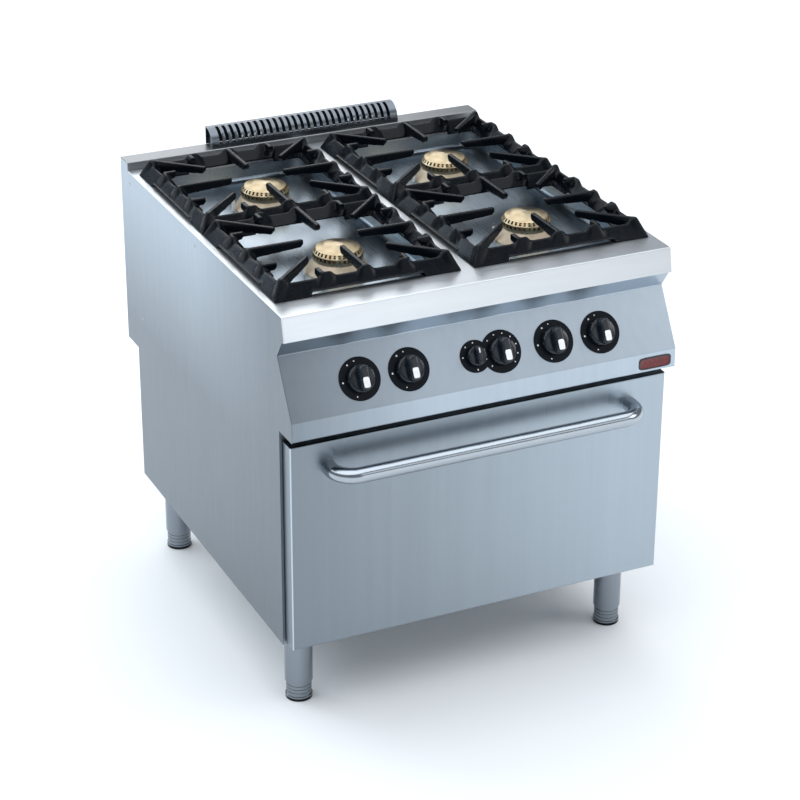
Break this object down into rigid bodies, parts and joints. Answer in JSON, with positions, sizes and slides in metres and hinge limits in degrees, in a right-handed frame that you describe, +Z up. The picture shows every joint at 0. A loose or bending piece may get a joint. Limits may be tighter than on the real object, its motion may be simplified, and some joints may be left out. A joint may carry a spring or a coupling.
{
  "type": "commercial gas range",
  "caption": "Free-standing stainless steel catering range: open gas burners with cast pan supports over a gas oven with a drop-down door, on levelling feet.",
  "frame": {"origin": "on the floor, under the middle of the box that holds the whole range and its door handle", "axes": "+Z up, +X to the right seen from the front, +Y to the back"},
  "size_m": [0.8, 0.945, 0.905],
  "materials": {
    "casing_steel": "satin brushed",
    "worktop_steel": "fine brushed",
    "door_steel": "satin, brushed upright",
    "well_steel": "bright pressed",
    "galvanised_steel": "matt zinc",
    "foot_steel": "satin",
    "flue_steel": "satin",
    "screw_steel": "turned",
    "burner_casting": "matt cast",
    "crown_brass": "machined satin",
    "igniter_ceramic": "glazed white ceramic",
    "oven_enamel": "speckled dark enamel",
    "insulation_wool": "mineral wool",
    "gasket_rubber": "matt",
    "rack_chrome": "bright",
    "handle_steel": "polished",
    "knob_plastic": "gloss black",
    "dial_plastic": "gloss black with white marks",
    "valve_brass": "machined",
    "pipe_steel": "zinc plated",
    "tube_aluminium": "drawn",
    "badge_red": "gloss red",
    "grate_enamel": "satin black enamel",
    "foot_tip": "satin, black end"
  },
  "bodies": {
    "chassis": {"left_side_panel": "casing_steel", "right_side_panel": "casing_steel", "worktop": "worktop_steel", "left_well": "well_steel", "right_well": "well_steel", "console_panel": "casing_steel", "back_panel": "galvanised_steel", "base_panel": "galvanised_steel", "chassis_frame": "galvanised_steel", "foot_sleeves": "foot_steel", "burner_bases": "burner_casting", "pilots_and_igniters": "igniter_ceramic", "oven_liner": "oven_enamel", "oven_floor_plate": "oven_enamel", "oven_insulation": "insulation_wool", "oven_front_frame": "casing_steel", "door_gasket": "gasket_rubber", "rack_guides": "rack_chrome", "oven_burner": "galvanised_steel", "hinge_brackets": "galvanised_steel", "burner_bezels": "dial_plastic", "oven_bezel": "dial_plastic", "burner_taps": "valve_brass", "oven_control_valve": "valve_brass", "gas_manifold": "pipe_steel", "gas_tubes": "tube_aluminium", "flue_cover": "flue_steel", "flue_duct": "galvanised_steel", "flue_neck": "galvanised_steel", "badge_plate": "badge_red", "side_screws": "screw_steel"},
    "door": {"door_outer_panel": "door_steel", "door_inner_panel": "door_steel", "door_insulation": "insulation_wool", "door_handle": "handle_steel"},
    "oven_rack": {"oven_rack": "rack_chrome"},
    "grate_front_left": {"grate_front_left": "grate_enamel"},
    "crown_front_left": {"burner_crown_front_left": "crown_brass"},
    "foot_front_left": {"levelling_foot_front_left": "foot_tip"},
    "grate_front_right": {"grate_front_right": "grate_enamel"},
    "crown_front_right": {"burner_crown_front_right": "crown_brass"},
    "foot_front_right": {"levelling_foot_front_right": "foot_tip"},
    "grate_rear_left": {"grate_rear_left": "grate_enamel"},
    "crown_rear_left": {"burner_crown_rear_left": "crown_brass"},
    "foot_rear_left": {"levelling_foot_rear_left": "foot_tip"},
    "grate_rear_right": {"grate_rear_right": "grate_enamel"},
    "crown_rear_right": {"burner_crown_rear_right": "crown_brass"},
    "foot_rear_right": {"levelling_foot_rear_right": "foot_tip"},
    "spindle_front_left": {"spindle_front_left": "valve_brass"},
    "knob_front_left": {"knob_front_left": "knob_plastic"},
    "spindle_rear_left": {"spindle_rear_left": "valve_brass"},
    "knob_rear_left": {"knob_rear_left": "knob_plastic"},
    "spindle_rear_right": {"spindle_rear_right": "valve_brass"},
    "knob_rear_right": {"knob_rear_right": "knob_plastic"},
    "spindle_front_right": {"spindle_front_right": "valve_brass"},
    "knob_front_right": {"knob_front_right": "knob_plastic"},
    "spindle_thermostat": {"spindle_thermostat": "valve_brass"},
    "knob_thermostat": {"knob_thermostat": "knob_plastic"},
    "spindle_selector": {"spindle_selector": "valve_brass"},
    "knob_selector": {"knob_selector": "knob_plastic"}
  },
  "joints": [
    {"name": "door_hinge", "type": "hinge", "parent": "chassis", "child": "door", "pos_m": [0, -0.386, 0.174], "axis": [1, 0, 0], "range_deg": [0, 90], "stiffness_Nm_per_rad": 8, "springref_deg": -22.92},
    {"name": "oven_rack_slide", "type": "slide", "parent": "chassis", "child": "oven_rack", "axis": [0, -1, 0], "range_m": [0, 0.02]},
    {"name": "grate_front_left_lift", "type": "slide", "parent": "chassis", "child": "grate_front_left", "axis": [0, 0, 1], "range_m": [0, 0.12]},
    {"name": "crown_front_left_lift", "type": "slide", "parent": "chassis", "child": "crown_front_left", "axis": [0, 0, 1], "range_m": [0, 0.01]},
    {"name": "foot_front_left_screw", "type": "slide", "parent": "chassis", "child": "foot_front_left", "axis": [0, 0, -1], "range_m": [0, 0.03]},
    {"name": "grate_front_right_lift", "type": "slide", "parent": "chassis", "child": "grate_front_right", "axis": [0, 0, 1], "range_m": [0, 0.12]},
    {"name": "crown_front_right_lift", "type": "slide", "parent": "chassis", "child": "crown_front_right", "axis": [0, 0, 1], "range_m": [0, 0.01]},
    {"name": "foot_front_right_screw", "type": "slide", "parent": "chassis", "child": "foot_front_right", "axis": [0, 0, -1], "range_m": [0, 0.03]},
    {"name": "grate_rear_left_lift", "type": "slide", "parent": "chassis", "child": "grate_rear_left", "axis": [0, 0, 1], "range_m": [0, 0.12]},
    {"name": "crown_rear_left_lift", "type": "slide", "parent": "chassis", "child": "crown_rear_left", "axis": [0, 0, 1], "range_m": [0, 0.01]},
    {"name": "foot_rear_left_screw", "type": "slide", "parent": "chassis", "child": "foot_rear_left", "axis": [0, 0, -1], "range_m": [0, 0.03]},
    {"name": "grate_rear_right_lift", "type": "slide", "parent": "chassis", "child": "grate_rear_right", "axis": [0, 0, 1], "range_m": [0, 0.12]},
    {"name": "crown_rear_right_lift", "type": "slide", "parent": "chassis", "child": "crown_rear_right", "axis": [0, 0, 1], "range_m": [0, 0.01]},
    {"name": "foot_rear_right_screw", "type": "slide", "parent": "chassis", "child": "foot_rear_right", "axis": [0, 0, -1], "range_m": [0, 0.03]},
    {"name": "knob_front_left_turn", "type": "hinge", "parent": "chassis", "child": "spindle_front_left", "pos_m": [-0.2525, -0.3985, 0.70511], "axis": [0, -0.866, 0.5], "range_deg": [0, 210]},
    {"name": "knob_front_left_push", "type": "slide", "parent": "spindle_front_left", "child": "knob_front_left", "axis": [0, 0.866, -0.5], "range_m": [0, 0.004], "stiffness_N_per_m": 1000, "springref_m": -0.003},
    {"name": "knob_rear_left_turn", "type": "hinge", "parent": "chassis", "child": "spindle_rear_left", "pos_m": [-0.1535, -0.3985, 0.70511], "axis": [0, -0.866, 0.5], "range_deg": [0, 210]},
    {"name": "knob_rear_left_push", "type": "slide", "parent": "spindle_rear_left", "child": "knob_rear_left", "axis": [0, 0.866, -0.5], "range_m": [0, 0.004], "stiffness_N_per_m": 1000, "springref_m": -0.003},
    {"name": "knob_rear_right_turn", "type": "hinge", "parent": "chassis", "child": "spindle_rear_right", "pos_m": [0.1475, -0.3985, 0.70511], "axis": [0, -0.866, 0.5], "range_deg": [0, 210]},
    {"name": "knob_rear_right_push", "type": "slide", "parent": "spindle_rear_right", "child": "knob_rear_right", "axis": [0, 0.866, -0.5], "range_m": [0, 0.004], "stiffness_N_per_m": 1000, "springref_m": -0.003},
    {"name": "knob_front_right_turn", "type": "hinge", "parent": "chassis", "child": "spindle_front_right", "pos_m": [0.2475, -0.3985, 0.70511], "axis": [0, -0.866, 0.5], "range_deg": [0, 210]},
    {"name": "knob_front_right_push", "type": "slide", "parent": "spindle_front_right", "child": "knob_front_right", "axis": [0, 0.866, -0.5], "range_m": [0, 0.004], "stiffness_N_per_m": 1000, "springref_m": -0.003},
    {"name": "knob_thermostat_turn", "type": "hinge", "parent": "chassis", "child": "spindle_thermostat", "pos_m": [0.0365, -0.3985, 0.70511], "axis": [0, -0.866, 0.5], "range_deg": [0, 270]},
    {"name": "knob_thermostat_push", "type": "slide", "parent": "spindle_thermostat", "child": "knob_thermostat", "axis": [0, 0.866, -0.5], "range_m": [0, 0.004], "stiffness_N_per_m": 1000, "springref_m": -0.003},
    {"name": "knob_selector_turn", "type": "hinge", "parent": "chassis", "child": "spindle_selector", "pos_m": [-0.0175, -0.3985, 0.70511], "axis": [0, -0.866, 0.5], "range_deg": [0, 120]},
    {"name": "knob_selector_push", "type": "slide", "parent": "spindle_selector", "child": "knob_selector", "axis": [0, 0.866, -0.5], "range_m": [0, 0.004], "stiffness_N_per_m": 1000, "springref_m": -0.003}
  ]
}
